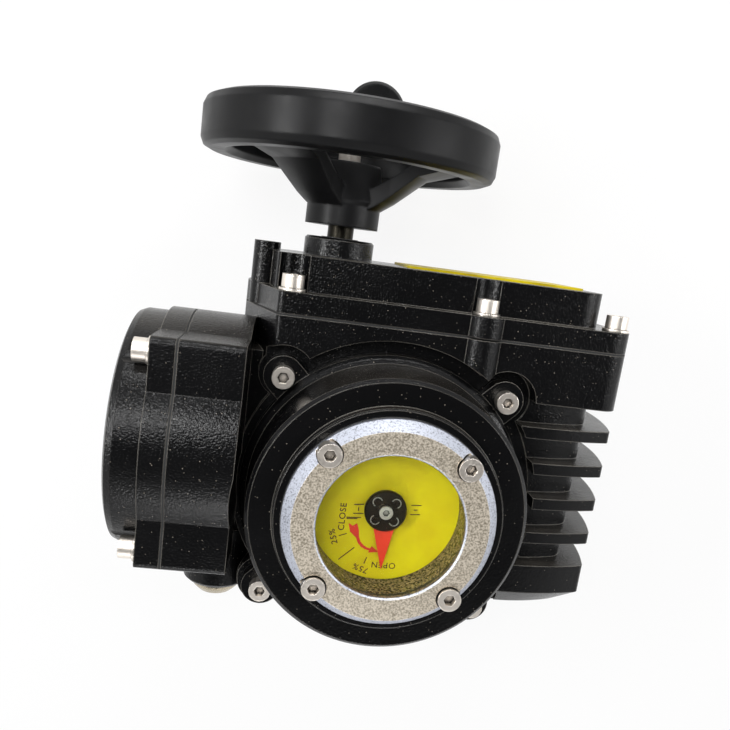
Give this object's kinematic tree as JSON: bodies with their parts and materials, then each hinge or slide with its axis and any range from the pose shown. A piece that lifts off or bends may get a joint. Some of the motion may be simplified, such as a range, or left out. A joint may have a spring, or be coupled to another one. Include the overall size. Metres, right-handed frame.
{
  "type": "quarter-turn electric valve actuator",
  "caption": "Quarter-turn electric valve actuator with finned motor housing, round position window, worm gear and a handwheel with folding grip.",
  "frame": {"origin": "centre of the valve flange's face", "axes": "+Z along the output axis from the valve towards the dial, +Y along the worm shaft towards the handwheel, +X towards the motor"},
  "size_m": [0.2315, 0.2517, 0.1383],
  "materials": {
    "casting": "glossy textured powder coat",
    "wheel": "satin black",
    "grip": "smooth",
    "ring": "bead blasted with a turned bevel",
    "screws": "stainless",
    "steel": "machined",
    "shaft": "ground",
    "brass": "machined bronze",
    "plug": "nickel plated",
    "copper": "enamelled wire",
    "glass": "clear",
    "yellow": "satin yellow",
    "red": "satin red",
    "cam": "moulded",
    "dark_plastic": "moulded",
    "terminal": "moulded",
    "seal": "moulded",
    "gasket": "cut sheet"
  },
  "bodies": {
    "housing": {"gearbox_body": "casting", "gear_cover": "casting", "indicator_cover": "casting", "terminal_cover": "casting", "gear_cover_gasket": "gasket", "indicator_cover_gasket": "gasket", "terminal_cover_gasket": "gasket", "glass_gasket": "seal", "output_seal": "seal", "shaft_seal": "seal", "gear_cover_screws": "screws", "gear_cover_washers": "screws", "lug_screws": "screws", "ring_screws": "screws", "terminal_fasteners": "screws", "inner_screws": "screws", "earth_screw": "brass", "name_plate": "yellow", "window_ring": "ring", "window_glass": "glass", "dial_plate": "yellow", "dial_posts": "steel", "open_switch": "dark_plastic", "close_switch": "dark_plastic", "switch_bracket": "steel", "bearing_plate": "steel", "upper_bush": "brass", "lower_bush": "brass", "worm_bearings": "steel", "bearing_clip": "steel", "shaft_bush": "brass", "gear_axles": "steel", "axle_spacers": "steel", "stator": "steel", "windings": "copper", "motor_bearings": "steel", "motor_plate": "steel", "terminal_block": "terminal", "conduit_plug": "plug"},
    "output": {"drive_sleeve": "steel", "worm_wheel": "brass", "wheel_key": "steel", "wheel_clip": "steel", "indicator_shaft": "steel", "open_cam": "cam", "close_cam": "cam", "pointer": "red", "pointer_hub": "dark_plastic", "hub_screw": "screws"},
    "worm": {"worm_shaft": "shaft", "shaft_gear": "steel", "shaft_key": "steel", "gear_spacers": "steel", "handwheel": "wheel", "wheel_screw": "screws", "grip_pin": "steel"},
    "gear_two": {"second_gear": "steel"},
    "gear_one": {"first_gear": "steel"},
    "motor_rotor": {"rotor": "steel", "motor_pinion": "steel"},
    "arm": {"grip_arm": "steel"},
    "grip": {"grip": "grip"}
  },
  "joints": [
    {"name": "worm_spin", "type": "hinge", "parent": "housing", "child": "worm", "pos_m": [-0.032, 0, 0.07], "axis": [0, 1, 0], "range_deg": [-3600, 0]},
    {"name": "output_turn", "type": "hinge", "parent": "housing", "child": "output", "pos_m": [0, 0, 0], "axis": [0, 0, 1], "range_deg": [-90, 0]},
    {"name": "gear_two_spin", "type": "hinge", "parent": "housing", "child": "gear_two", "pos_m": [-0.00466, 0, 0.05242], "axis": [0, 1, 0], "range_deg": [0, 5760]},
    {"name": "gear_one_spin", "type": "hinge", "parent": "housing", "child": "gear_one", "pos_m": [0.029, 0, 0.05], "axis": [0, 1, 0], "range_deg": [-13680, 0]},
    {"name": "rotor_spin", "type": "hinge", "parent": "housing", "child": "motor_rotor", "pos_m": [0.064, 0, 0.05], "axis": [0, 1, 0], "range_deg": [0, 34200]},
    {"name": "grip_fold", "type": "hinge", "parent": "worm", "child": "arm", "pos_m": [-0.023, 0.1695, 0.012], "axis": [-1, 0, 0], "range_deg": [0, 90]},
    {"name": "grip_spin", "type": "hinge", "parent": "arm", "child": "grip", "pos_m": [-0.023, 0.1695, 0.049], "axis": [0, 0, 1], "continuous": true}
  ],
  "couplings": [
    {"joint": "output_turn", "follows": "worm_spin", "ratio": 0.025},
    {"joint": "gear_two_spin", "follows": "worm_spin", "ratio": -1.6},
    {"joint": "gear_one_spin", "follows": "worm_spin", "ratio": 3.8},
    {"joint": "rotor_spin", "follows": "worm_spin", "ratio": -9.5}
  ]
}
